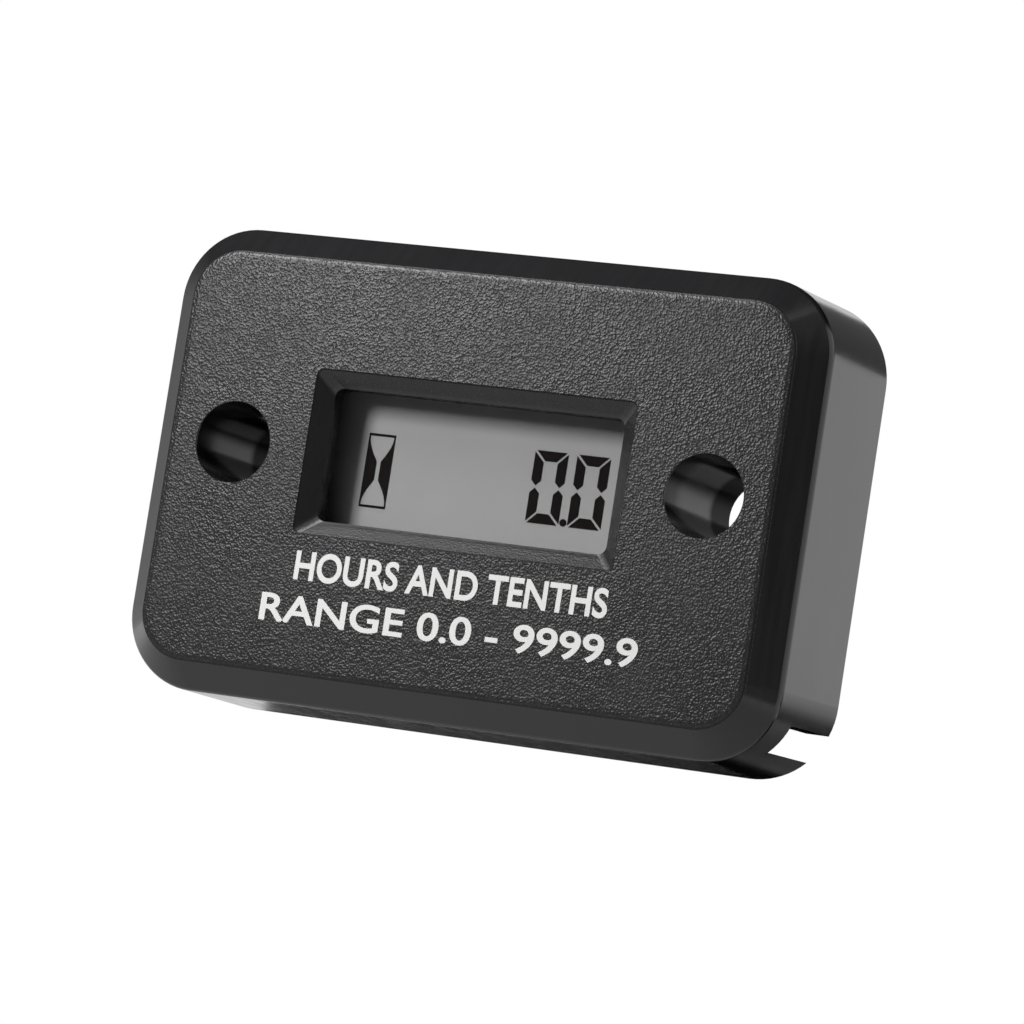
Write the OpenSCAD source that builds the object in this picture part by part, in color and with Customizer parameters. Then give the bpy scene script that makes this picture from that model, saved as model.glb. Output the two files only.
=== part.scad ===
// Surface-mount digital hour meter with a spring vibration switch.
// Sizes are in millimetres. The finished part stands upright: +X to the viewer's right, +Z up,
// the face towards -Y and the mounting plane at Y = 0, with the origin midway between the screw holes.
// The modules below work in the panel frame: x right, y up, z from the mounting plane to the face.

/* [Housing] */
// Overall width at the back rim
body_w = 60; // [58:0.1:70]
// Overall height at the back rim
body_h = 40.4; // [40:0.1:48]
// Overall depth from the mounting plane to the face
body_d = 15.6; // [15:0.1:22]
// Thickness of the skirt
skirt_t = 1.8; // [1.2:0.1:2.4]
// Thickness of the face
face_t = 2.2; // [1.6:0.1:2.8]
// How far each wall leans out from the face edge to the back rim
draft = 0.3; // [0.1:0.05:0.6]
// Corner radius at the back rim
corner_r = 6.8; // [5.5:0.1:8]
// Width of the bevel round the face
bevel_w = 2.4; // [1.5:0.1:3]
// Depth of the bevel round the face
bevel_d = 2.6; // [1.5:0.1:3.5]
// Rounding between bevel and skirt
shoulder_r = 1; // [0.4:0.1:1.4]
// Rounding between face and bevel
brow_r = 0.4; // [0.2:0.1:0.8]

/* [Screw holes] */
// Distance between the two screw holes
hole_spacing = 42.8; // [42:0.1:44]
// Diameter of the screw holes
hole_d = 6.9; // [5:0.1:7.4]
// Wall of the tube round each screw hole
tube_t = 1.4; // [1:0.1:1.8]
// Height of the hole line above the middle of the housing
hole_rise = 1.27; // [0:0.01:2]
// Thickness of the rib from each tube to the skirt
rib_t = 1.2; // [0.8:0.1:1.6]
// How far the ribs stop short of the back rim
rib_set_back = 1.5; // [0.5:0.1:4]

/* [Window] */
// Width of the bevelled window at the face
window_w = 29.2; // [28:0.1:30]
// Height of the bevelled window at the face
window_h = 14.1; // [12:0.1:16]
// Width of the window's bevel
window_bevel = 1.4; // [1:0.1:2]
// Depth of the window's bevel
window_bevel_d = 1.25; // [0.8:0.05:2]
// Corner radius of the opening
window_r = 0.8; // [0.4:0.1:1.5]
// Corner radius of the window's bevel at its outer end
mouth_r = 0.5; // [0.2:0.1:1.5]
// Depth from the face to the lens
window_depth = 3; // [2.6:0.1:3.4]

/* [Cable notch] */
// Height of the notch in the lower right corner of the skirt
notch_h = 2.4; // [1.5:0.1:4]
// Depth of the notch from the back rim
notch_d = 8.8; // [4:0.1:11]
// Height of the notch's lower edge above the bottom of the housing
notch_rise = 1.95; // [1.8:0.05:3]

/* [Potted well] */
// Thickness of the partition beside each screw tube
partition_t = 1.2; // [0.8:0.1:1.6]
// How far each partition runs into its screw tube
partition_merge = 0.45; // [0.3:0.05:0.8]
// How far the partitions stop short of the back rim
partition_set_back = 0.5; // [0.2:0.1:1.2]
// Cover of cured resin over the tallest part on the board
resin_cover = 1.5; // [0.8:0.1:2]

/* [Display] */
// Overlap of the lens on its seat, left and right
lens_seat_x = 1.8; // [1.2:0.1:2]
// Overlap of the lens on its seat, above and below
lens_seat_y = 3.3; // [3:0.1:4]
// Thickness of the lens
lens_t = 1; // [0.6:0.1:1.2]
// Thickness of the polarizing films
film_t = 0.2; // [0.15:0.05:0.3]
// Thickness of each display glass
glass_t = 0.7; // [0.5:0.05:0.9]
// Thickness of the liquid crystal layer with its seal and segments
crystal_t = 0.05; // [0.04:0.01:0.1]
// Height of the contact ledges on the front glass
ledge_h = 2; // [1.6:0.1:2.2]
// Width of the seal between the glasses
seal_w = 0.8; // [0.5:0.1:1]
// Wall of the frame that holds lens and display
frame_t = 1.2; // [0.8:0.1:1.6]
// Width of the conductive rubber strips
strip_w = 1.5; // [1:0.1:1.6]
// Space between the display's back and the circuit board
display_gap = 1.15; // [0.8:0.05:1.6]

/* [Figures on the display] */
// Height of a figure
digit_h = 6.1; // [4:0.1:6.6]
// Width of a figure
digit_w = 3; // [2.4:0.1:3.4]
// Distance from figure to figure
digit_pitch = 3.8; // [3.6:0.05:4.4]
// Stroke of a segment
stroke = 0.85; // [0.5:0.05:1]
// Gap between neighbouring segments
stroke_gap = 0.2; // [0.1:0.05:0.3]
// Middle of the right-hand figure, right of the window's middle
digit_x = 9.4; // [8:0.1:10]
// Middle of the figures, above the window's middle
digit_y = -0.32; // [-0.6:0.01:0.6]
// Diameter of the decimal point
dot_d = 0.62; // [0.4:0.02:0.7]
// Width of the hourglass sign
sign_w = 2.45; // [1.8:0.05:3]
// Height of the hourglass sign
sign_h = 6.3; // [4:0.1:7]
// Line of the hourglass sign's frame
sign_line = 0.2; // [0.12:0.02:0.3]
// Width of the hourglass's neck
neck_w = 0.4; // [0.2:0.05:0.7]
// Height of the hourglass's neck
neck_h = 1.6; // [0.6:0.1:2.4]
// Middle of the hourglass sign, left of the window's middle
sign_x = 10; // [8:0.1:10.5]
// Middle of the hourglass sign, above the window's middle
sign_y = -0.55; // [-0.6:0.05:0.6]

/* [Circuit board] */
// Thickness of the board
board_t = 1.2; // [0.8:0.1:1.6]
// Diameter of the posts that carry the board
post_d = 3.6; // [3:0.1:4]
// Distance from the board's edges to the middle of its screws
post_inset = 2.6; // [2.4:0.1:3]
// Diameter of the screws' shank
screw_d = 1.6; // [1.4:0.1:1.8]
// Length of the screws under the head
screw_l = 4.6; // [3.5:0.1:5]
// Diameter of the screws' head
screw_head_d = 3.4; // [2.8:0.1:3.8]
// Height of the screws' head
screw_head_h = 1.1; // [0.8:0.1:1.4]

/* [Electronics] */
// Diameter of the coin cell
cell_d = 20; // [16:0.1:20.4]
// Thickness of the coin cell
cell_t = 3.2; // [2:0.1:3.4]
// Width of the cell's contact tabs
tab_w = 4; // [3:0.1:5]
// Thickness of the cell's contact tabs
tab_t = 0.2; // [0.15:0.05:0.3]
// Diameter of the resin drop over the controller chip
drop_d = 7; // [5:0.1:7.6]
// Height of the resin drop
drop_h = 1.4; // [1:0.1:1.8]
// Diameter of the clock crystal's can
can_d = 2; // [1.5:0.1:2.4]
// Length of the clock crystal's can
can_l = 6; // [5:0.1:6.5]

/* [Vibration switch] */
// Outer diameter of the switch
switch_d = 4; // [3.6:0.1:4.4]
// Length of the switch
switch_l = 10; // [9:0.1:11]
// Wall of its sleeve
sleeve_t = 0.3; // [0.2:0.05:0.4]
// Length of its base plug
plug_l = 1.6; // [1.2:0.1:2]
// Diameter of its centre pin and of its lead
pin_d = 0.5; // [0.4:0.05:0.6]
// Mean diameter of the contact spring
coil_d = 1.9; // [1.7:0.05:2]
// Diameter of the spring's wire
wire_d = 0.24; // [0.18:0.02:0.28]
// Number of turns of the spring
coil_turns = 12; // [8:1:14]

/* [Hidden] */
$fn = 64;
overlap = 0.3;       // how far joined features run into each other
through = 1;         // how far cuts run past the faces they open
side_gap = 0.2;      // clearance round pieces that drop into a pocket
board_gap = 0.25;    // clearance round the circuit board
pour_gap = 0.02;     // clearance between cured resin and the walls
part_gap = 0.05;     // clearance between cured resin and the parts it covers
loft_end = 0.01;     // thickness of the slabs that end a loft
arc_steps = 5;       // straight steps in a rounded edge

// Housing
corner_x = body_w / 2 - corner_r;
corner_y = body_h / 2 - corner_r;
middle_y = -hole_rise;
shoulder_z = body_d - bevel_d;
ceiling_z = body_d - face_t;
edge_r = corner_r - draft;
tube_r = hole_d / 2 + tube_t;
hole_x = hole_spacing / 2;
partition_x = hole_x - tube_r + partition_merge;
well_w = 2 * (partition_x - partition_t);
opening_w = window_w - 2 * window_bevel;
opening_h = window_h - 2 * window_bevel;

// Levels of the stack behind the window, from the face backwards
lens_z = body_d - window_depth;
front_film_z = lens_z - lens_t;
front_glass_z = front_film_z - film_t;
crystal_z = front_glass_z - glass_t;
rear_glass_z = crystal_z - crystal_t;
rear_film_z = rear_glass_z - glass_t;
display_back_z = rear_film_z - film_t;
board_z = display_back_z - display_gap;
board_back_z = board_z - board_t;

// Plan sizes of the stack
lens_w = opening_w + 2 * lens_seat_x;
lens_h = opening_h + 2 * lens_seat_y;
rear_glass_h = lens_h - 2 * ledge_h;
film_w = lens_w - 2 * seal_w;
film_h = rear_glass_h - 2 * side_gap;
pocket_w = lens_w + 2 * side_gap;
pocket_h = lens_h + 2 * side_gap;
strip_y = (rear_glass_h / 2 + pocket_h / 2) / 2;
strip_l = lens_w - 2 * seal_w;

// Circuit board and what it carries
board_w = well_w - 2 * board_gap;
board_h = 2 * (inner_half_h(board_z) - board_gap);
post_x = board_w / 2 - post_inset;
post_y = board_h / 2 - post_inset;
pilot_d = screw_d + 2 * part_gap;
pilot_l = screw_l - board_t + side_gap;
cell_step = 0.3;
cell_cap_d = cell_d - 2.4;
cell_edge = 1;
cell_x = -board_w / 2 + cell_edge + cell_d / 2;
cell_y = middle_y + board_h / 2 - cell_edge - cell_d / 2;
cell_front_z = board_back_z - tab_t;
cell_back_z = cell_front_z - cell_t;
tab_clear = 0.5;
tab_overlap = 5;
drop_clear = 0.8;
drop_x = cell_x + cell_d / 2 + drop_clear + drop_d / 2;
drop_y = cell_y;
drop_ball_r = (pow(drop_d / 2, 2) + pow(drop_h, 2)) / (2 * drop_h);
switch_r = switch_d / 2;
switch_stand = 0.3;
switch_z = board_back_z - switch_stand - switch_r;
switch_x = cell_x - switch_l / 2;
switch_y = cell_y - cell_d / 2 - tab_clear - tab_t - tab_clear - switch_r;
resin_z = min(switch_z - switch_r, cell_back_z - tab_t) - resin_cover;
coil_l = switch_l - plug_l - sleeve_t - 4 * wire_d;
spring_seat = 0.4;
pin_tail = 0.9;
small_x = drop_x - 1;
small_pitch = 2.2;
can_x = drop_x + 2.6;
can_y = drop_y - drop_d / 2 - drop_clear;
can_lift = 0.1;
can_lead_d = 0.3;
can_lead_l = 1.4;
can_lead_pitch = 0.8;
capacitor = [2, 1.25, 0.85];
capacitor_count = 3;
resistor = [1.6, 0.8, 0.45];
resistor_count = 4;
cap_band = 0.35;
band_proud = 0.04;

function unit(v) = v / norm(v);
function turn_angle(v) = atan2(v[1], v[0]);

// Arc that rounds the corner b of the outline a, b, c
function rounded(a, b, c, r) =
    let (
        u = unit(a - b),
        v = unit(c - b),
        half = acos(u * v) / 2,
        centre = b + unit(u + v) * r / sin(half),
        first = turn_angle(b + u * r / tan(half) - centre),
        last = turn_angle(b + v * r / tan(half) - centre),
        sweep = (last - first + 540) % 360 - 180
    )
    [for (i = [0:arc_steps]) centre + r * [cos(first + sweep * i / arc_steps), sin(first + sweep * i / arc_steps)]];

// Distance of the drafted skirt from the corner's axis at height z
function skirt_r(z) = corner_r - draft * z / shoulder_z;

// Half the clear height inside the skirt at height z
function inner_half_h(z) = corner_y + skirt_r(z) - skirt_t;

// Section of the outer form, seen from the corner's axis
function outer_section() =
    let (
        rim = [corner_r, 0],
        shoulder = [edge_r, shoulder_z],
        brow = [edge_r - bevel_w, body_d],
        top = [0, body_d]
    )
    concat([[0, 0], rim], rounded(rim, shoulder, brow, shoulder_r), rounded(shoulder, brow, top, brow_r), [top]);

// Section of the hollow behind the face
function inner_section() = [
    [0, -through],
    [skirt_r(-through) - skirt_t, -through],
    [skirt_r(ceiling_z) - skirt_t, ceiling_z],
    [0, ceiling_z]
];

// Turns the panel frame upright, with the face towards -Y
module upright() {
    rotate([90, 0, 0]) children();
}

// Box with round corners whose edge follows a section taken from the corner's axis
module swept_box(section) {
    low = min([for (p = section) p[1]]);
    high = max([for (p = section) p[1]]);
    translate([0, middle_y, 0]) {
        for (sx = [0, 1], sy = [0, 1])
            mirror([sx, 0, 0]) mirror([0, sy, 0]) translate([corner_x, corner_y, 0])
                rotate_extrude(angle = 90) polygon(section);
        for (sy = [0, 1])
            mirror([0, sy, 0]) translate([-corner_x, corner_y, 0])
                rotate([90, 0, 90]) linear_extrude(2 * corner_x) polygon(section);
        for (sx = [0, 1])
            mirror([sx, 0, 0]) translate([corner_x, corner_y, 0])
                rotate([90, 0, 0]) linear_extrude(2 * corner_y) polygon(section);
        translate([-corner_x, -corner_y, low]) cube([2 * corner_x, 2 * corner_y, high - low]);
    }
}

// Block centred in plan, from one height to another
module slab(w, h, from_z, to_z) {
    translate([-w / 2, -h / 2, min(from_z, to_z)]) cube([w, h, abs(to_z - from_z)]);
}

// Slab with round corners
module round_slab(w, h, r, from_z, to_z) {
    slab(w - 2 * r, h, from_z, to_z);
    slab(w, h - 2 * r, from_z, to_z);
    for (sx = [-1, 1], sy = [-1, 1])
        translate([sx * (w / 2 - r), sy * (h / 2 - r), min(from_z, to_z)]) cylinder(r = r, h = abs(to_z - from_z));
}

// Row of places at the two screw holes
module at_holes() {
    for (side = [-1, 1]) translate([side * hole_x, 0, 0]) children();
}

// Places of the four board screws
module at_posts() {
    for (sx = [-1, 1], sy = [-1, 1]) translate([sx * post_x, middle_y + sy * post_y, 0]) children();
}

// Bevelled mouth of the window: a loft from the opening out past the face
module window_mouth() {
    out = window_bevel * through / window_bevel_d;
    floor_z = body_d - window_bevel_d;
    top_z = body_d + through;
    hull() {
        round_slab(opening_w, opening_h, window_r, floor_z - loft_end, floor_z);
        round_slab(window_w + 2 * out, window_h + 2 * out, mouth_r, top_z, top_z + loft_end);
    }
}

// Slot through the corner of the skirt, as wide as the corner's round
module cable_notch() {
    translate([corner_x, middle_y - body_h / 2 + notch_rise, -through])
        cube([corner_r + through, notch_h, notch_d + through]);
}

// Walls and tubes inside the housing
module inner_walls() {
    reach = inner_half_h(0) + overlap;
    for (side = [-1, 1]) {
        translate([side * (partition_x - partition_t / 2), middle_y, 0])
            slab(partition_t, 2 * reach, partition_set_back, ceiling_z + overlap);
        rib_from = hole_x + hole_d / 2 + tube_t / 2;
        rib_to = body_w / 2 - draft - skirt_t / 2;
        translate([side * (rib_from + rib_to) / 2, 0, 0])
            slab(rib_to - rib_from, rib_t, rib_set_back, ceiling_z + overlap);
    }
    at_holes() cylinder(r = tube_r, h = ceiling_z + overlap);
    slab(pocket_w + 2 * frame_t, pocket_h + 2 * frame_t, display_back_z, ceiling_z + overlap);
    at_posts() translate([0, 0, board_z]) cylinder(d = post_d, h = ceiling_z + overlap - board_z);
}

module housing() {
    color([0.13, 0.13, 0.135]) upright() difference() {
        union() {
            difference() {
                swept_box(outer_section());
                swept_box(inner_section());
            }
            inner_walls();
        }
        at_holes() translate([0, 0, -through]) cylinder(d = hole_d, h = body_d + 2 * through);
        window_mouth();
        round_slab(opening_w, opening_h, window_r, lens_z - through, body_d - window_bevel_d / 2);
        slab(pocket_w, pocket_h, display_back_z - through, lens_z);
        cable_notch();
        at_posts() translate([0, 0, board_z - through]) cylinder(d = pilot_d, h = pilot_l + through);
    }
}

module window_lens() {
    color([0.85, 0.88, 0.9, 0.3]) upright() slab(lens_w, lens_h, front_film_z, lens_z);
}

module lcd_front_film() {
    color([0.5, 0.52, 0.5, 0.4]) upright() slab(film_w, film_h, front_glass_z, front_film_z);
}

module lcd_front_glass() {
    color([0.8, 0.85, 0.82, 0.3]) upright() slab(lens_w, lens_h, crystal_z, front_glass_z);
}

module lcd_rear_glass() {
    color([0.72, 0.74, 0.72]) upright() slab(lens_w, rear_glass_h, rear_film_z, rear_glass_z);
}

module lcd_rear_film() {
    color([0.66, 0.67, 0.66]) upright() slab(film_w, film_h, display_back_z, rear_film_z);
}

module lcd_seal() {
    color([0.75, 0.75, 0.7]) upright() difference() {
        slab(lens_w, rear_glass_h, rear_glass_z, crystal_z);
        slab(lens_w - 2 * seal_w, rear_glass_h - 2 * seal_w, rear_glass_z - through, crystal_z + through);
    }
}

// Upper half of the left side of a figure, from the middle of the figure
module side_stroke() {
    skew = stroke_gap / sqrt(2);
    polygon([
        [-digit_w / 2, stroke / 2 + stroke_gap / 2],
        [-digit_w / 2 + stroke / 2, stroke_gap / 2],
        [-digit_w / 2 + stroke, stroke / 2 + stroke_gap / 2],
        [-digit_w / 2 + stroke, digit_h / 2 - stroke - skew],
        [-digit_w / 2, digit_h / 2 - skew]
    ]);
}

// Top stroke of a figure, with its ends cut to meet the sides
module top_stroke() {
    skew = stroke_gap / sqrt(2);
    polygon([
        [-digit_w / 2 + skew, digit_h / 2],
        [digit_w / 2 - skew, digit_h / 2],
        [digit_w / 2 - stroke - skew, digit_h / 2 - stroke],
        [-digit_w / 2 + stroke + skew, digit_h / 2 - stroke]
    ]);
}

// The figure nought, drawn in six strokes
module figure_nought() {
    for (sy = [0, 1]) mirror([0, sy]) {
        top_stroke();
        for (sx = [0, 1]) mirror([sx, 0]) side_stroke();
    }
}

// Half the width of the hourglass at height y above its neck
function glass_half(y, top) = neck_w / 2 + (sign_w / 2 - sign_line / 2 - neck_w / 2) * sin(90 * y / top);

// Hourglass in a frame: the clear glass is cut from a dark block
module hourglass_sign() {
    top = sign_h / 2 - sign_line;
    bulb = top - neck_h / 2;
    side = [for (i = [0:arc_steps]) [glass_half(bulb * i / arc_steps, bulb), neck_h / 2 + bulb * i / arc_steps]];
    right = concat([for (i = [arc_steps:-1:0]) [side[i][0], -side[i][1]]], side);
    left = [for (i = [len(right) - 1:-1:0]) [-right[i][0], right[i][1]]];
    difference() {
        square([sign_w, sign_h], center = true);
        polygon(concat(right, left));
    }
}

module lcd_segments() {
    color([0.04, 0.035, 0.035]) upright() translate([0, 0, rear_glass_z]) linear_extrude(crystal_t) {
        for (i = [0, 1]) translate([digit_x - i * digit_pitch, digit_y]) figure_nought();
        translate([digit_x - digit_pitch / 2, digit_y - digit_h / 2 + dot_d / 2]) circle(d = dot_d);
        translate([-sign_x, sign_y]) hourglass_sign();
    }
}

module contact_strips() {
    color([0.2, 0.2, 0.22]) upright() for (side = [-1, 1])
        translate([0, side * strip_y, 0]) slab(strip_l, strip_w, board_z, crystal_z);
}

module circuit_board() {
    color([0.1, 0.35, 0.18]) upright() difference() {
        translate([0, middle_y, 0]) slab(board_w, board_h, board_back_z, board_z);
        at_posts() translate([0, 0, board_back_z - through])
            cylinder(d = pilot_d + 2 * side_gap, h = board_t + 2 * through);
    }
}

module board_screws() {
    color([0.75, 0.75, 0.76]) upright() at_posts() {
        translate([0, 0, board_back_z]) cylinder(d = screw_d, h = screw_l);
        translate([0, 0, board_back_z - screw_head_h]) cylinder(d = screw_head_d, h = screw_head_h);
    }
}

// Coin cell with its narrower negative cap towards the board
module cell_form(grow = 0) {
    translate([cell_x, cell_y, 0]) {
        translate([0, 0, cell_back_z - grow]) cylinder(d = cell_d + 2 * grow, h = cell_t - cell_step + 2 * grow);
        translate([0, 0, cell_back_z]) cylinder(d = cell_cap_d + 2 * grow, h = cell_t);
    }
}

module coin_cell() {
    color([0.78, 0.78, 0.76]) upright() cell_form();
}

// Flat tab on the board under the cell
module negative_form(grow = 0) {
    translate([cell_x, cell_y + cell_d / 4, 0])
        slab(tab_w + 2 * grow, cell_d / 2 + tab_overlap + 2 * grow, board_back_z - tab_t, board_back_z + grow);
}

module cell_tab_negative() {
    color([0.8, 0.78, 0.7]) upright() intersection() {
        negative_form();
        translate([0, middle_y, 0]) slab(board_w, board_h, board_back_z - tab_t, board_back_z);
    }
}

// Tab over the cell, bent down beside it to the board
module positive_form(grow = 0) {
    leg_y = cell_y - cell_d / 2 - tab_clear - tab_t;
    translate([cell_x, 0, 0]) {
        translate([-tab_w / 2 - grow, leg_y - grow, cell_back_z - tab_t - grow])
            cube([tab_w + 2 * grow, tab_clear + tab_t + tab_overlap + 2 * grow, tab_t + grow]);
        translate([-tab_w / 2 - grow, leg_y - grow, cell_back_z - tab_t - grow])
            cube([tab_w + 2 * grow, tab_t + 2 * grow, board_back_z - cell_back_z + tab_t + 2 * grow]);
    }
}

module cell_tab_positive() {
    color([0.8, 0.78, 0.7]) upright() positive_form();
}

// Drop of resin over the chip: a cap of a ball
module drop_form(grow = 0) {
    translate([drop_x, drop_y, board_back_z]) intersection() {
        translate([0, 0, drop_ball_r - drop_h]) sphere(r = drop_ball_r + grow);
        translate([0, 0, -drop_ball_r]) cylinder(r = drop_d / 2 + grow, h = drop_ball_r + grow);
    }
}

module controller_drop() {
    color([0.08, 0.08, 0.09]) upright() drop_form();
}

// Clock crystal: a can lying on the board with two leads bent into it
module crystal_form(grow = 0) {
    translate([can_x, can_y, board_back_z - can_lift - can_d / 2]) {
        rotate([90, 0, 0]) translate([0, 0, -grow]) cylinder(d = can_d + 2 * grow, h = can_l + 2 * grow);
        for (side = [-1, 1]) translate([side * can_lead_pitch / 2, 0, 0]) {
            translate([0, -can_l - can_lead_l, 0]) rotate([-90, 0, 0])
                cylinder(d = can_lead_d + 2 * grow, h = can_lead_l + overlap);
            translate([0, -can_l - can_lead_l, 0]) sphere(d = can_lead_d + 2 * grow);
            translate([0, -can_l - can_lead_l, 0])
                cylinder(d = can_lead_d + 2 * grow, h = can_lift + can_d / 2 + grow);
        }
    }
}

module clock_crystal() {
    color([0.76, 0.77, 0.78]) upright() crystal_form();
}

// Chip part with a metal band at each end, lying on the board
module chip_part(size, grow = 0) {
    slab(size[0] - cap_band, size[1] + 2 * grow, board_back_z - size[2] - grow, board_back_z + grow);
    for (side = [-1, 1]) translate([side * (size[0] - cap_band) / 2, 0, 0])
        slab(cap_band + 2 * grow, size[1] + 2 * (grow + band_proud),
             board_back_z - size[2] - band_proud - grow, board_back_z + grow);
}

// Places of the chip parts, in a column beside the crystal
module capacitor_forms(grow = 0) {
    for (i = [0:capacitor_count - 1])
        translate([small_x, can_y - capacitor[1] - i * small_pitch, 0]) chip_part(capacitor, grow);
}

module resistor_forms(grow = 0) {
    for (i = [0:resistor_count - 1])
        translate([small_x - capacitor[0] / 2 - small_pitch, can_y - capacitor[1] - i * small_pitch, 0])
            chip_part(resistor, grow);
}

module chip_capacitors() {
    color([0.62, 0.5, 0.36]) upright() capacitor_forms();
}

module chip_resistors() {
    color([0.1, 0.1, 0.11]) upright() resistor_forms();
}

// Turns a piece of the vibration switch to lie along x, with its base plug at the left
module lying() {
    translate([switch_x, switch_y, switch_z]) rotate([0, 90, 0]) children();
}

module switch_sleeve() {
    color([0.3, 0.32, 0.34]) upright() lying() difference() {
        translate([0, 0, plug_l]) cylinder(r = switch_r, h = switch_l - plug_l);
        translate([0, 0, plug_l - through])
            cylinder(r = switch_r - sleeve_t, h = switch_l - plug_l - sleeve_t + through);
    }
}

module switch_plug() {
    color([0.15, 0.15, 0.16]) upright() lying() difference() {
        cylinder(r = switch_r, h = plug_l);
        translate([0, 0, -through]) cylinder(d = pin_d + 2 * pour_gap, h = plug_l + 2 * through);
        translate([0, 0, plug_l - spring_seat]) cylinder(d = coil_d + wire_d + 2 * side_gap, h = spring_seat + through);
        lead_socket();
    }
}

// Hole for the spring's lead in the side of the plug
module lead_socket() {
    translate([-switch_r - through, 0, plug_l / 2]) rotate([0, 90, 0])
        cylinder(d = pin_d + 2 * pour_gap, h = through + switch_r - coil_d / 2 - wire_d / 2 - side_gap);
}

// Centre pin: it runs through the plug and bends down to the board
module switch_pin() {
    color([0.82, 0.76, 0.5]) upright() {
        lying() translate([0, 0, -pin_tail])
            cylinder(d = pin_d, h = switch_l + pin_tail - sleeve_t - 4 * wire_d);
        translate([switch_x - pin_tail, switch_y, switch_z]) {
            sphere(d = pin_d);
            cylinder(d = pin_d, h = board_back_z - switch_z);
        }
    }
}

module switch_lead() {
    color([0.82, 0.76, 0.5]) upright() translate([switch_x + plug_l / 2, switch_y, 0])
        translate([0, 0, switch_z + coil_d / 2 + wire_d / 2 + 2 * side_gap])
            cylinder(d = pin_d, h = board_back_z - switch_z - coil_d / 2 - wire_d / 2 - 2 * side_gap);
}

// Point of the spring's wire, from 0 at its root to 1 at its free end
function coil_point(s) =
    let (angle = 360 * coil_turns * s)
    [coil_d / 2 * cos(angle), coil_d / 2 * sin(angle), plug_l - spring_seat + wire_d + (coil_l - wire_d) * s];

// Contact spring: a round wire swept along its helix
module switch_spring() {
    turn_steps = 14;
    ring = 6;
    steps = turn_steps * coil_turns;
    points = [
        for (i = [0:steps], k = [0:ring - 1])
            let (
                s = i / steps,
                p = coil_point(s),
                outward = [cos(360 * coil_turns * s), sin(360 * coil_turns * s), 0],
                a = 360 * k / ring
            )
            p + wire_d / 2 * (cos(a) * outward + sin(a) * [0, 0, 1])
    ];
    sides = [
        for (i = [0:steps - 1], k = [0:ring - 1])
            let (n = (k + 1) % ring)
            [i * ring + k, i * ring + n, (i + 1) * ring + n, (i + 1) * ring + k]
    ];
    root = [for (k = [ring - 1:-1:0]) k];
    tip = [for (k = [0:ring - 1]) steps * ring + k];
    color([0.83, 0.83, 0.84]) upright() lying() polyhedron(points, concat([root], sides, [tip]));
}

// Room that the vibration switch takes in the resin
module switch_form(grow = 0) {
    lying() translate([0, 0, -grow]) cylinder(r = switch_r + grow, h = switch_l + 2 * grow);
    translate([switch_x + plug_l / 2, switch_y, switch_z])
        cylinder(d = pin_d + 2 * grow, h = board_back_z - switch_z + grow);
    translate([switch_x - pin_tail, switch_y, switch_z]) {
        rotate([0, 90, 0]) cylinder(d = pin_d + 2 * grow, h = pin_tail);
        sphere(d = pin_d + 2 * grow);
        cylinder(d = pin_d + 2 * grow, h = board_back_z - switch_z + grow);
    }
}

// Resin poured over the board, down to its surface below the back rim
module potting_resin() {
    low = inner_half_h(resin_z) - pour_gap;
    high = inner_half_h(board_back_z) - pour_gap;
    width = well_w - 2 * pour_gap;
    color([0.05, 0.05, 0.055]) upright() difference() {
        translate([-width / 2, middle_y, 0]) rotate([90, 0, 90]) linear_extrude(width)
            polygon([[-low, resin_z], [low, resin_z], [high, board_back_z], [-high, board_back_z]]);
        cell_form(part_gap);
        negative_form(part_gap);
        positive_form(part_gap);
        drop_form(part_gap);
        crystal_form(part_gap);
        capacitor_forms(part_gap);
        resistor_forms(part_gap);
        switch_form(part_gap);
        at_posts() translate([0, 0, board_back_z - screw_head_h - part_gap])
            cylinder(d = screw_head_d + 2 * part_gap, h = screw_head_h + part_gap + through);
    }
}

housing();
window_lens();
lcd_front_film();
lcd_front_glass();
lcd_segments();
lcd_seal();
lcd_rear_glass();
lcd_rear_film();
contact_strips();
circuit_board();
board_screws();
coin_cell();
cell_tab_negative();
cell_tab_positive();
controller_drop();
clock_crystal();
chip_capacitors();
chip_resistors();
switch_sleeve();
switch_plug();
switch_pin();
switch_lead();
switch_spring();
potting_resin();
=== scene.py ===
"""Looks of a surface-mount hour meter: finishes, legend, studio and camera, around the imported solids."""

import math

import bpy
from mathutils import Matrix, Vector


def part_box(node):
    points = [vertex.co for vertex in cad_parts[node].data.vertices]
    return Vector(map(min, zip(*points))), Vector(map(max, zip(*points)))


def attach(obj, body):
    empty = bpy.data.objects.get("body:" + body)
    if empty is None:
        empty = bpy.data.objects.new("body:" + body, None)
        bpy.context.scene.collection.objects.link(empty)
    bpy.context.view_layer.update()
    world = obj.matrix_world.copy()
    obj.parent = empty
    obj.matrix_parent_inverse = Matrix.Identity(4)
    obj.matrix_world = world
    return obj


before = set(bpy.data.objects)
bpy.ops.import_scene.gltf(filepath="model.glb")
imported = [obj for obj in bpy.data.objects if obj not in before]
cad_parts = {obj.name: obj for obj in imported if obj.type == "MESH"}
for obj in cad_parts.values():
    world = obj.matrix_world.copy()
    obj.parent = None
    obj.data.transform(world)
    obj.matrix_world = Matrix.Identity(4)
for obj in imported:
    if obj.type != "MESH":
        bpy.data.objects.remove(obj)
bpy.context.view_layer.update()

MM = 0.001
METER = "meter"

# Camera, at the photograph's viewing angle
AIM = Vector((1.57, -7.8, -2.4)) * MM
AZIMUTH = 23.508
ELEVATION = -4.882
ROLL = 8.882
DISTANCE = 394.7 * MM
LENS = 165.5
SENSOR = 36

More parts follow.
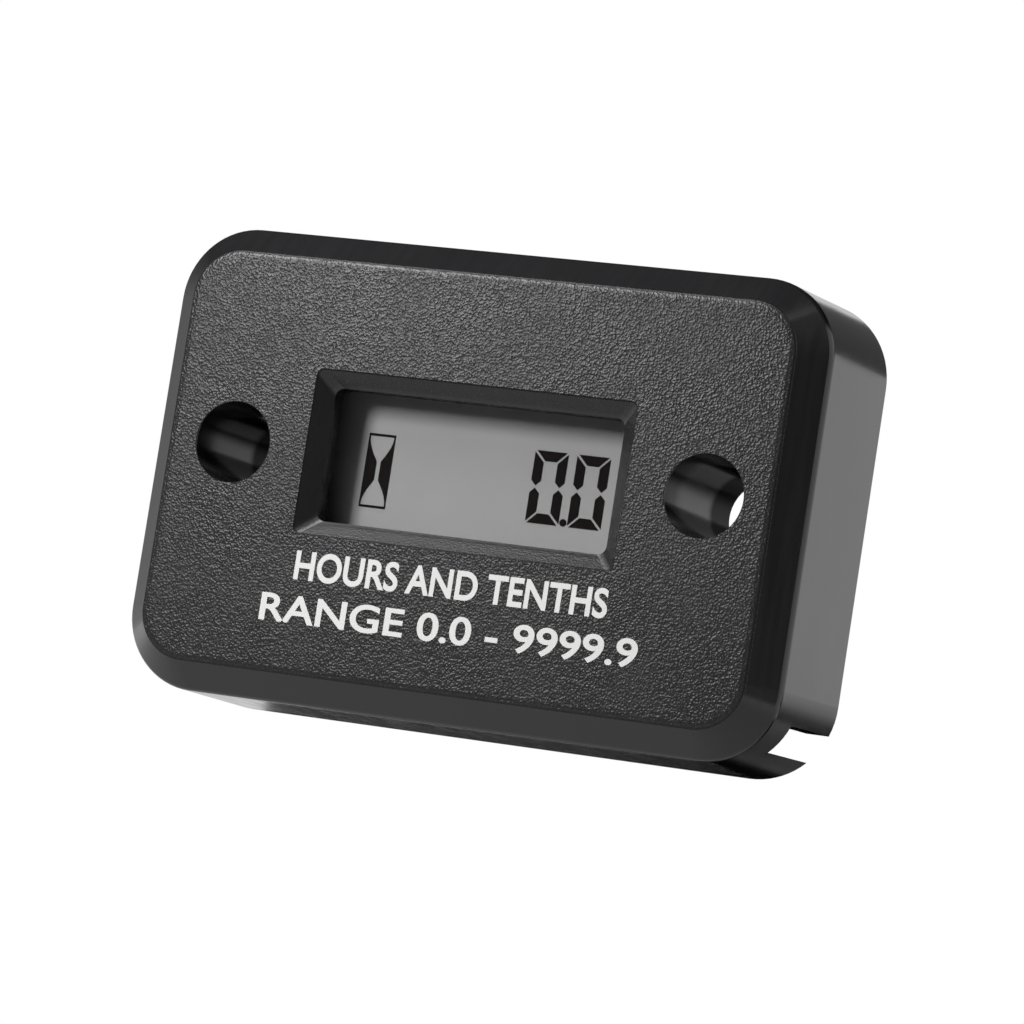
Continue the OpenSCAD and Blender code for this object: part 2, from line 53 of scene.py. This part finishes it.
# Legend on the face, line by line: name, words, width, height of capitals, middle and base line, in mm
LEGEND = (
    ("hours_legend", "HOURS AND TENTHS", 28.4, 2.5, 0.4, -10.9),
    ("range_legend", "RANGE 0.0 - 9999.9", 34.2, 2.4, 0.7, -14.6),
)

# White ink: thickness, added stroke width, colours and their patches, finish, share of the grain under it
INK_THICKNESS = 0.03
INK_BOLD = 0.07
INK_WHITE = ((0.59, 0.59, 0.58), (0.64, 0.64, 0.63))
INK_PATCH = 0.5
INK_ROUGH = 0.55
INK_GLOSS = 0.08
INK_GRAIN = 0.15

# Black moulding: colours and their patches, roughness where smooth and where grained, gloss of both (kept
# low on the grained face as painted shade of its hollows)
BLACK = ((0.013, 0.013, 0.014), (0.019, 0.019, 0.02))
BLACK_PATCH = 6.0
SMOOTH_ROUGH = (0.15, 0.2)
GRAIN_ROUGH = (0.27, 0.32)
MOULD_GLOSS_AND_SHADE = (0.6, 0.125)

# Draw lines on the smooth walls: stretch along the axes, width and depth
DRAW_STRETCH = (1, 0.08, 0.05)
DRAW_WIDTH = 0.5
DRAW_DEPTH = 0.0012

# Grain of the face: size and height of its beads, gloss of pits and tops (lower in the pits as painted
# shade, higher on the polished tops), depths between which it ends
GRAIN_SIZE = 0.165
GRAIN_HEIGHT = 0.036
PIT_SHADE_GLOSS = (-0.3, 0.3)
FACE_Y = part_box("housing")[0].y
GRAIN_FADE = (0.16, 0.04)

# Fainter grain on the bevel round the window: half sizes of the bevel, depths between which it ends, share
WINDOW_HALF = (14.75, 7.2)
WINDOW_DEPTH = (0.9, 1.15)
WINDOW_GRAIN = 0.35

# Face outline: middle height, half sizes inside the corner rounding, corner radius
FACE_MIDDLE = -1.27
FACE_CORE = (23.2, 13.4)
FACE_R = 4.1

# Band along the edge of the face that falls away: distances from the edge, fall, share of the grain left
CROWN_BAND = (0.5, 0.1)
CROWN_FALL = 0.03
CROWN_GRAIN = 0.75

# Screw holes: place, radius, and share of the gloss near the face and near the back, between two depths;
# cutting the gloss in the bores is painted shade that darkens the holes
HOLE_X = 21.4
HOLE_R = 3.5
BORE_SHADE_FRONT = (0.1, 0.28, 2.0, 4.5)
BORE_SHADE_BACK = (1.0, 0.1, 10.0, 11.5)

# Cast resin: colours and their patches, roughness over the dull patches, width and height of the waves
RESIN_BLACK = ((0.008, 0.008, 0.009), (0.013, 0.013, 0.014))
RESIN_PATCH = 3.0
RESIN_ROUGH = (0.12, 0.2, 0.4, 0.7)
RESIN_WAVE = 7.0
RESIN_WAVE_HEIGHT = 0.1

# Panes of the display that touch face to face, how far each is drawn in, patches of their faint haze
PANES = ("window_lens", "lcd_front_film", "lcd_front_glass", "lcd_rear_glass", "lcd_rear_film", "lcd_seal")
PANE_HAIR = 0.005
PANE_PATCH = 1.5

# Middle band of a noise, which holds most of its values
NOISE_BAND = (0.3, 0.7)

# Floor: height, size, colour, roughness, and how far out it turns from pale to white
FLOOR_Z = -75 * MM
FLOOR_SIZE = 3.0
FLOOR_GREY = (0.2, 0.2, 0.2)
FLOOR_ROUGH = 0.9
FLOOR_NEAR = 0.12
FLOOR_FAR = 0.32
FLOOR_PALE = 0.5

# Fill light of the surroundings, and clear faces that light can cross
WORLD_FILL = 0.02
CLEAR_FACES = 32

# Cards that show in reflections: name, greys at foot and head, width and height, place, point faced
CARDS = (
    ("card_above", (0, 0), (1.1, 0.54), (-0.2, 0.23, 0.32), (-0.2, 0.23, 0)),
    ("card_right", (0.08, 0.08), (0.545, 0.6), (0.3, -0.3325, 0.2), (0, -0.3325, 0.2)),
    ("card_front", (0, 0), (1.5, 0.9), (-0.2, -0.75, 0.07), (-0.2, 0, 0.07)),
    ("card_left", (0, 0), (0.55, 0.6), (-0.6, -0.33, 0.1), (0, -0.33, 0.1)),
    ("card_behind_left", (0.66, 0.04), (0.6, 0.5), (-0.6, 0.35, 0.05), (0, 0, 0.05)),
    ("card_behind_high", (0.15, 0.15), (0.35, 0.3), (0.125, 0.4, 0.258), (0.125, 0, 0.258)),
    ("card_behind_low", (0, 1), (0.4, 0.085), (0.2, 0.25, -0.032), (0.2, 0, -0.032)),
    ("card_behind_foot", (0, 0), (0.145, 0.06), (-0.0725, 0.25, -0.045), (-0.0725, 0, -0.045)),
    ("card_under", (0, 0), (0.06, 0.2), (-0.03, 0.15, -0.073), (-0.03, 0.15, 1)),
    ("card_under_right", (0.35, 0), (0.14, 0.2), (0.07, 0.15, -0.073), (0.07, 0.15, 1)),
    ("card_right_low", (0.45, 0.08), (0.39, 0.203), (0.21, -0.255, -0.027), (-0.253, -0.255, 0.86)),
)

# Soft lights: name, place, width and height, brightness; and the point they are aimed at
LIGHTS = (
    ("key_light", (-0.15, -0.288, 0.102), (0.09, 0.11), 40.0),
    ("top_light", (-0.125, -0.16, 0.28), (0.25, 0.2), 4.5),
)
LIGHT_AIM = (0, -0.012, 0)


# Node helpers

def new_material(name):
    """New node material with its Principled shader: (material, nodes, links, shader)."""
    material = bpy.data.materials.new(name)
    material.use_nodes = True
    tree = material.node_tree
    return material, tree.nodes, tree.links, tree.nodes["Principled BSDF"]


def place_mm(nodes, links, stretch=(1, 1, 1)):
    """Place on the object in millimetres, stretched along the axes."""
    where = nodes.new("ShaderNodeTexCoord")
    scale = nodes.new("ShaderNodeVectorMath")
    scale.operation = "MULTIPLY"
    scale.inputs[1].default_value = [s / MM for s in stretch]
    links.new(where.outputs["Object"], scale.inputs[0])
    return scale.outputs[0]


def axes(nodes, links):
    """Place on the object in metres, axis by axis."""
    where = nodes.new("ShaderNodeTexCoord")
    split = nodes.new("ShaderNodeSeparateXYZ")
    links.new(where.outputs["Object"], split.inputs[0])
    return split.outputs


def noise(nodes, links, place, size, detail=2.0):
    """Noise whose patches are about size millimetres across."""
    tex = nodes.new("ShaderNodeTexNoise")
    tex.inputs["Scale"].default_value = 1 / size
    tex.inputs["Detail"].default_value = detail
    links.new(place, tex.inputs["Vector"])
    return tex.outputs["Fac"]


def ranged(nodes, links, value, low, high, from_low=0.0, from_high=1.0):
    """Value mapped smoothly from one range to another."""
    node = nodes.new("ShaderNodeMapRange")
    node.interpolation_type = "SMOOTHSTEP"
    node.inputs["From Min"].default_value = from_low
    node.inputs["From Max"].default_value = from_high
    node.inputs["To Min"].default_value = low
    node.inputs["To Max"].default_value = high
    links.new(value, node.inputs["Value"])
    return node.outputs["Result"]


def sums(nodes, links, operation, a, b=0.0):
    """One operation on two values, each a socket or a number."""
    node = nodes.new("ShaderNodeMath")
    node.operation = operation
    for socket, value in zip(node.inputs, (a, b)):
        if isinstance(value, (int, float)):
            socket.default_value = value
        else:
            links.new(value, socket)
    return node.outputs[0]


def tint(nodes, links, value, dark, light):
    """Colour between dark and light."""
    ramp = nodes.new("ShaderNodeValToRGB")
    ramp.color_ramp.elements[0].color = (*dark, 1)
    ramp.color_ramp.elements[1].color = (*light, 1)
    links.new(value, ramp.inputs["Fac"])
    return ramp.outputs["Color"]


def bump(nodes, links, height, distance, normal=None):
    """Bump of a height that is distance millimetres deep, on top of an earlier one if given."""
    node = nodes.new("ShaderNodeBump")
    node.inputs["Distance"].default_value = distance * MM
    node.inputs["Strength"].default_value = 1.0
    links.new(height, node.inputs["Height"])
    if normal is not None:
        links.new(normal, node.inputs["Normal"])
    return node.outputs["Normal"]


# Materials

def finish(name, dark, light, rough, metal=0.0, patch=3.0, grain=0.2, depth=0.004,
           stretch=(1, 1, 1), gloss=0.5):
    """Plain finish: colour drifts in patches, and a fine grain lies on top that varies the roughness."""
    material, nodes, links, shader = new_material(name)
    drift = noise(nodes, links, place_mm(nodes, links), patch, 3)
    fine = noise(nodes, links, place_mm(nodes, links, stretch), grain)
    links.new(tint(nodes, links, drift, dark, light), shader.inputs["Base Color"])
    links.new(ranged(nodes, links, fine, *rough, *NOISE_BAND), shader.inputs["Roughness"])
    links.new(bump(nodes, links, fine, depth), shader.inputs["Normal"])
    shader.inputs["Metallic"].default_value = metal
    shader.inputs["Specular IOR Level"].default_value = gloss
    return material


def face_grain(nodes, links, place):
    """Height of the moulded grain: small uneven beads."""
    return noise(nodes, links, place, GRAIN_SIZE, 0)


def off_centre(nodes, links, axis, middle=0.0):
    """Distance of an axis from its middle, in millimetres."""
    away = sums(nodes, links, "SUBTRACT", axis, middle * MM)
    return sums(nodes, links, "DIVIDE", sums(nodes, links, "ABSOLUTE", away), MM)


def radius(nodes, links, a, b):
    """Length of two distances at right angles."""
    squares = (sums(nodes, links, "POWER", side, 2.0) for side in (a, b))
    return sums(nodes, links, "SQRT", sums(nodes, links, "ADD", *squares))


def depth_mm(nodes, links):
    """Depth behind the face in millimetres."""
    deep = sums(nodes, links, "SUBTRACT", axes(nodes, links)[1], FACE_Y)
    return sums(nodes, links, "DIVIDE", deep, MM)


def grain_mask(nodes, links):
    """One on the grained face, less on the bevel round the window, zero elsewhere."""
    x, _, z = axes(nodes, links)
    deep = depth_mm(nodes, links)
    face = ranged(nodes, links, deep, 0, 1, *GRAIN_FADE)
    bevel = ranged(nodes, links, deep, WINDOW_GRAIN, 0, *WINDOW_DEPTH)
    for axis, half in zip((x, z), WINDOW_HALF):
        inside = sums(nodes, links, "LESS_THAN", off_centre(nodes, links, axis), half)
        bevel = sums(nodes, links, "MULTIPLY", bevel, inside)
    return sums(nodes, links, "MAXIMUM", face, bevel)


def crown(nodes, links):
    """One over the face, falling to zero along its edge."""
    x, _, z = axes(nodes, links)
    sides = []
    for axis, middle, core in zip((x, z), (0.0, FACE_MIDDLE), FACE_CORE):
        past = sums(nodes, links, "SUBTRACT", off_centre(nodes, links, axis, middle), core)
        sides.append(sums(nodes, links, "MAXIMUM", past, 0.0))
    band = [FACE_R - inset for inset in CROWN_BAND]
    return ranged(nodes, links, radius(nodes, links, *sides), 1, 0, *band)


def bore_painted_shade(nodes, links):
    """Share of the gloss that is left: one outside the screw holes, little at both ends of their bores, as
    painted shade that darkens the holes.
    """
    x, _, z = axes(nodes, links)
    across = sums(nodes, links, "SUBTRACT", off_centre(nodes, links, x), HOLE_X)
    from_axis = radius(nodes, links, across, off_centre(nodes, links, z))
    inside = sums(nodes, links, "LESS_THAN", from_axis, HOLE_R)
    deep = depth_mm(nodes, links)
    front = ranged(nodes, links, deep, *BORE_SHADE_FRONT)
    back = ranged(nodes, links, deep, *BORE_SHADE_BACK)
    share = sums(nodes, links, "MULTIPLY", front, back)
    loss = sums(nodes, links, "MULTIPLY", inside, sums(nodes, links, "SUBTRACT", share, 1.0))
    return sums(nodes, links, "ADD", loss, 1.0)


def housing_plastic():
    """Black moulding: grained face with painted shade in its hollows, smooth bevels and walls with faint
    draw lines, screw holes darkened by painted shade.
    """
    material, nodes, links, shader = new_material("black_plastic_moulding")
    place = place_mm(nodes, links)
    edge = crown(nodes, links)
    edge_grain = ranged(nodes, links, edge, CROWN_GRAIN, 1)
    mask = sums(nodes, links, "MULTIPLY", grain_mask(nodes, links), edge_grain)
    drift = noise(nodes, links, place, BLACK_PATCH, 3)
    draw_lines = noise(nodes, links, place_mm(nodes, links, DRAW_STRETCH), DRAW_WIDTH, 3)
    links.new(tint(nodes, links, drift, *BLACK), shader.inputs["Base Color"])

    mix = nodes.new("ShaderNodeMix")
    links.new(mask, mix.inputs["Factor"])
    links.new(ranged(nodes, links, draw_lines, *SMOOTH_ROUGH, *NOISE_BAND), mix.inputs[2])
    links.new(ranged(nodes, links, drift, *GRAIN_ROUGH, *NOISE_BAND), mix.inputs[3])
    links.new(mix.outputs[0], shader.inputs["Roughness"])

    grain = face_grain(nodes, links, place)
    # Gloss follows the grain: lower in the pits as painted shade, higher on the polished tops
    pit_shade = sums(nodes, links, "MULTIPLY", mask, ranged(nodes, links, grain, *PIT_SHADE_GLOSS, *NOISE_BAND))
    pit_shaded = sums(nodes, links, "ADD", pit_shade, 1)
    # Gloss lowered over the grained face: painted shade of the grain's hollows
    gloss = sums(nodes, links, "MULTIPLY", ranged(nodes, links, mask, *MOULD_GLOSS_AND_SHADE), pit_shaded)
    # Gloss cut in the screw bores: painted shade that darkens the holes
    bore_shaded = sums(nodes, links, "MULTIPLY", gloss, bore_painted_shade(nodes, links))
    links.new(bore_shaded, shader.inputs["Specular IOR Level"])

    lines = bump(nodes, links, draw_lines, DRAW_DEPTH)
    rounded = bump(nodes, links, edge, CROWN_FALL, lines)
    height = sums(nodes, links, "MULTIPLY", grain, mask)
    links.new(bump(nodes, links, height, GRAIN_HEIGHT, rounded), shader.inputs["Normal"])
    return material


def clear_sheet(name, colour, alpha, rough, gloss=0.0):
    """Clear pane that hardly shows, with a faint unevenness in its gloss."""
    material, nodes, links, shader = new_material(name)
    shader.inputs["Base Color"].default_value = (*colour, 1)
    shader.inputs["Alpha"].default_value = alpha
    shader.inputs["Specular IOR Level"].default_value = gloss
    haze = noise(nodes, links, place_mm(nodes, links), PANE_PATCH, 3)
    links.new(ranged(nodes, links, haze, *rough, *NOISE_BAND), shader.inputs["Roughness"])
    return material


def legend_ink():
    """White printing ink that follows the grain under it."""
    material, nodes, links, shader = new_material("legend_ink")
    place = place_mm(nodes, links)
    drift = noise(nodes, links, place, INK_PATCH, 3)
    links.new(tint(nodes, links, drift, *INK_WHITE), shader.inputs["Base Color"])
    shader.inputs["Roughness"].default_value = INK_ROUGH
    shader.inputs["Specular IOR Level"].default_value = INK_GLOSS
    grain = face_grain(nodes, links, place)
    links.new(bump(nodes, links, grain, GRAIN_HEIGHT * INK_GRAIN), shader.inputs["Normal"])
    return material


def cast_resin():
    """Black resin that flowed level: glossy, with slow waves and a few dull patches."""
    material, nodes, links, shader = new_material("cast_resin_black")
    place = place_mm(nodes, links)
    waves = noise(nodes, links, place, RESIN_WAVE, 2)
    dull = noise(nodes, links, place, RESIN_PATCH, 4)
    links.new(tint(nodes, links, dull, *RESIN_BLACK), shader.inputs["Base Color"])
    links.new(ranged(nodes, links, dull, *RESIN_ROUGH), shader.inputs["Roughness"])
    links.new(bump(nodes, links, waves, RESIN_WAVE_HEIGHT), shader.inputs["Normal"])
    return material


# Metal colours that several pieces share, from dark to light
NICKEL = ((0.58, 0.56, 0.5), (0.66, 0.64, 0.58))
BRASS = ((0.6, 0.45, 0.18), (0.72, 0.56, 0.26))

FINISHES = {
    "housing": housing_plastic(),
    "window_lens": clear_sheet("clear_lens", (0.06, 0.065, 0.065), 0.02, (0.03, 0.08), 0.5),
    "lcd_front_film": clear_sheet("polarizing_film", (0.03, 0.032, 0.03), 0.01, (0.25, 0.35)),
    "lcd_front_glass": clear_sheet("front_display_glass", (0.05, 0.056, 0.053), 0.01, (0.03, 0.06)),
    "lcd_segments": finish("segment_ink", (0.004, 0.003, 0.003), (0.009, 0.006, 0.006), (0.4, 0.5),
                           gloss=0),
    "lcd_seal": finish("display_seal", (0.2, 0.2, 0.19), (0.26, 0.26, 0.25), (0.45, 0.6)),
    "lcd_rear_glass": finish("display_field", (0.3, 0.3, 0.299), (0.32, 0.32, 0.319), (0.45, 0.55),
                             depth=0.0005, gloss=0),
    "lcd_rear_film": finish("reflector_film", (0.5, 0.5, 0.49), (0.58, 0.58, 0.57), (0.25, 0.4), 0.6),
    "contact_strips": finish("contact_rubber", (0.02, 0.02, 0.022), (0.07, 0.07, 0.08), (0.6, 0.75),
                             0, 0.1, stretch=(8, 1, 1)),
    "circuit_board": finish("board_laminate", (0.01, 0.08, 0.03), (0.02, 0.14, 0.06), (0.3, 0.5),
                            0, 0.6, 0.15),
    "board_screws": finish("plated_steel", (0.55, 0.55, 0.56), (0.68, 0.68, 0.69), (0.2, 0.35),
                           1, 0.6, 0.05),
    "coin_cell": finish("cell_steel", (0.6, 0.6, 0.58), (0.7, 0.7, 0.68), (0.22, 0.36), 1, 2, 0.1),
    "cell_tab_negative": finish("tab_nickel", *NICKEL, (0.25, 0.4), 1, 1, 0.06, stretch=(1, 1, 0.1)),
    "cell_tab_positive": finish("tab_nickel_upper", *NICKEL, (0.25, 0.4), 1, 1, 0.06, stretch=(1, 1, 0.1)),
    "controller_drop": finish("chip_resin", (0.01, 0.01, 0.012), (0.025, 0.025, 0.028), (0.3, 0.5),
                              0, 1, 0.3, 0.02),
    "clock_crystal": finish("crystal_can", (0.6, 0.6, 0.61), (0.7, 0.7, 0.71), (0.18, 0.3), 1, 1, 0.05),
    "chip_capacitors": finish("tan_ceramic", (0.34, 0.23, 0.13), (0.44, 0.31, 0.2), (0.5, 0.7),
                              0, 0.4, 0.05),
    "chip_resistors": finish("dark_ceramic", (0.02, 0.02, 0.02), (0.045, 0.045, 0.045), (0.4, 0.6),
                             0, 0.4, 0.05),
    "switch_sleeve": finish("sleeve_plastic", (0.06, 0.065, 0.07), (0.09, 0.095, 0.1), (0.35, 0.5),
                            0, 1, 0.1),
    "switch_plug": finish("plug_plastic", (0.018, 0.018, 0.02), (0.03, 0.03, 0.033), (0.4, 0.6),
                          0, 0.5, 0.06),
    "switch_pin": finish("contact_brass", *BRASS, (0.2, 0.35), 1, 0.6, 0.05),
    "switch_lead": finish("contact_brass_lead", *BRASS, (0.2, 0.35), 1, 0.6, 0.05),
    "switch_spring": finish("spring_steel", (0.6, 0.6, 0.62), (0.72, 0.72, 0.73), (0.18, 0.3),
                            1, 0.5, 0.04),
    "potting_resin": cast_resin(),
}


def part_faces(pane):
    """Draws a pane in by a hair, so that it shares no face with its neighbours."""
    weld = pane.modifiers.new("weld", "WELD")
    weld.merge_threshold = PANE_HAIR * MM
    hair = pane.modifiers.new("hair", "DISPLACE")
    hair.strength = -PANE_HAIR * MM
    hair.mid_level = 0


def dress_nodes():
    """Gives every solid its finish, and parts the panes of the display."""
    for name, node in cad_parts.items():
        node.data.materials.clear()
        node.data.materials.append(FINISHES[name])
    for name in PANES:
        part_faces(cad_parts[name])


# Legend

def printed_line(name, words, width, height, middle, base, material):
    """One line of bold white print, fitted to its width and height, lying on the face."""
    curve = bpy.data.curves.new(name, "FONT")
    curve.body = words
    source = bpy.data.objects.new(name + "_source", curve)
    bpy.context.scene.collection.objects.link(source)
    bpy.context.view_layer.update()
    curve.offset = INK_BOLD / width * source.dimensions.x
    graph = bpy.context.evaluated_depsgraph_get()
    mesh = bpy.data.meshes.new_from_object(source.evaluated_get(graph))
    bpy.data.objects.remove(source)
    xs = [v.co.x for v in mesh.vertices]
    ys = [v.co.y for v in mesh.vertices]
    wide = width * MM / (max(xs) - min(xs))
    tall = height * MM / (max(ys) - min(ys))
    centre, foot = (max(xs) + min(xs)) / 2, min(ys)
    for v in mesh.vertices:
        x = (v.co.x - centre) * wide + middle * MM
        z = (v.co.y - foot) * tall + base * MM
        v.co = (x, FACE_Y, z)
    mesh.name = name
    mesh.shade_flat()
    mesh.materials.clear()
    mesh.materials.append(material)
    line = bpy.data.objects.new(name, mesh)
    bpy.context.scene.collection.objects.link(line)
    thick = line.modifiers.new("ink", "SOLIDIFY")
    thick.thickness = INK_THICKNESS * MM
    thick.offset = 1
    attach(line, METER)


def print_legend():
    """Both lines of the legend."""
    ink = legend_ink()
    for line in LEGEND:
        printed_line(*line, ink)


# Studio

def seen_rays(nodes, links):
    """One for rays that look at the background: from the camera, a mirror or glass."""
    path = nodes.new("ShaderNodeLightPath")
    seen = path.outputs["Is Camera Ray"]
    for ray in ("Is Glossy Ray", "Is Transmission Ray"):
        seen = sums(nodes, links, "MAXIMUM", seen, path.outputs[ray])
    return seen


def white_world():
    """White where it is looked at, and a grey fill light elsewhere."""
    world = bpy.data.worlds.new("studio")
    bpy.context.scene.world = world
    world.use_nodes = True
    nodes, links = world.node_tree.nodes, world.node_tree.links
    ground = nodes["Background"]
    ground.inputs["Color"].default_value = (1, 1, 1, 1)
    links.new(ranged(nodes, links, seen_rays(nodes, links), WORLD_FILL, 1), ground.inputs["Strength"])


def plane(name, size, place, facing):
    """Flat stage card of a width and height, turned to face a point."""
    mesh = bpy.data.meshes.new(name)
    w, h = size[0] / 2, size[1] / 2
    mesh.from_pydata([(-w, -h, 0), (w, -h, 0), (w, h, 0), (-w, h, 0)], [], [(0, 1, 2, 3)])
    card = bpy.data.objects.new(name, mesh)
    bpy.context.scene.collection.objects.link(card)
    card.location = place
    card.rotation_mode = "QUATERNION"
    card.rotation_quaternion = (Vector(facing) - Vector(place)).to_track_quat("Z", "Y")
    return card


def white_floor():
    """Pale floor that keeps the shadow near the object and turns white further out."""
    floor = plane("floor", (FLOOR_SIZE, FLOOR_SIZE), (0, 0, FLOOR_Z), (0, 0, 1))
    material, nodes, links, shader = new_material("pale_floor")
    shader.inputs["Base Color"].default_value = (*FLOOR_GREY, 1)
    shader.inputs["Roughness"].default_value = FLOOR_ROUGH
    where = nodes.new("ShaderNodeTexCoord")
    length = nodes.new("ShaderNodeVectorMath")
    length.operation = "LENGTH"
    links.new(where.outputs["Object"], length.inputs[0])
    far = ranged(nodes, links, length.outputs["Value"], FLOOR_PALE, 1, FLOOR_NEAR, FLOOR_FAR)
    white = nodes.new("ShaderNodeEmission")
    mix = nodes.new("ShaderNodeMixShader")
    links.new(sums(nodes, links, "MULTIPLY", far, seen_rays(nodes, links)), mix.inputs[0])
    links.new(shader.outputs[0], mix.inputs[1])
    links.new(white.outputs[0], mix.inputs[2])
    links.new(mix.outputs[0], nodes["Material Output"].inputs["Surface"])
    floor.data.materials.append(material)


def grey_card(name, shades, size, place, facing):
    """Card that shows only in reflections, shaded from one grey at its foot to another at its head."""
    card = plane(name, size, place, facing)
    material, nodes, links, _ = new_material(name + "_shade")
    half = size[1] / 2
    glow = nodes.new("ShaderNodeEmission")
    shade = ranged(nodes, links, axes(nodes, links)[1], *shades, -half, half)
    links.new(shade, glow.inputs["Color"])
    links.new(glow.outputs[0], nodes["Material Output"].inputs["Surface"])
    material.cycles.emission_sampling = "NONE"
    card.data.materials.append(material)
    card.visible_camera = False
    card.visible_diffuse = False
    card.visible_transmission = False
    card.visible_shadow = False


def softbox(name, place, size, radiance):
    """Rectangular soft light of a given brightness, aimed at the object."""
    light = bpy.data.lights.new(name, "AREA")
    light.shape = "RECTANGLE"
    light.size, light.size_y = size
    light.energy = radiance * math.pi * size[0] * size[1]
    lamp = bpy.data.objects.new(name, light)
    bpy.context.scene.collection.objects.link(lamp)
    lamp.location = place
    lamp.rotation_mode = "QUATERNION"
    lamp.rotation_quaternion = (Vector(LIGHT_AIM) - Vector(place)).to_track_quat("-Z", "Y")
    lamp.visible_camera = False


def light_studio():
    """White surroundings, cards for the darker reflections, a front light and a wide light overhead."""
    bpy.context.scene.cycles.transparent_max_bounces = CLEAR_FACES
    white_world()
    white_floor()
    for card in CARDS:
        grey_card(*card)
    for light in LIGHTS:
        softbox(*light)


def set_camera():
    """Camera at the photograph's place, turned a little about its own axis."""
    lens = bpy.data.cameras.new("camera")
    lens.lens = LENS
    lens.sensor_width = SENSOR
    camera = bpy.data.objects.new("camera", lens)
    bpy.context.scene.collection.objects.link(camera)
    a, e = math.radians(AZIMUTH), math.radians(ELEVATION)
    back = Vector((math.sin(a) * math.cos(e), -math.cos(a) * math.cos(e), math.sin(e)))
    turn = (-back).to_track_quat("-Z", "Y").to_matrix() @ Matrix.Rotation(math.radians(ROLL), 3, "Z")
    camera.location = AIM + back * DISTANCE
    camera.rotation_mode = "QUATERNION"
    camera.rotation_quaternion = turn.to_quaternion()
    bpy.context.scene.camera = camera


dress_nodes()
print_legend()
light_studio()
set_camera()
bpy.context.scene.view_settings.view_transform = "Standard"
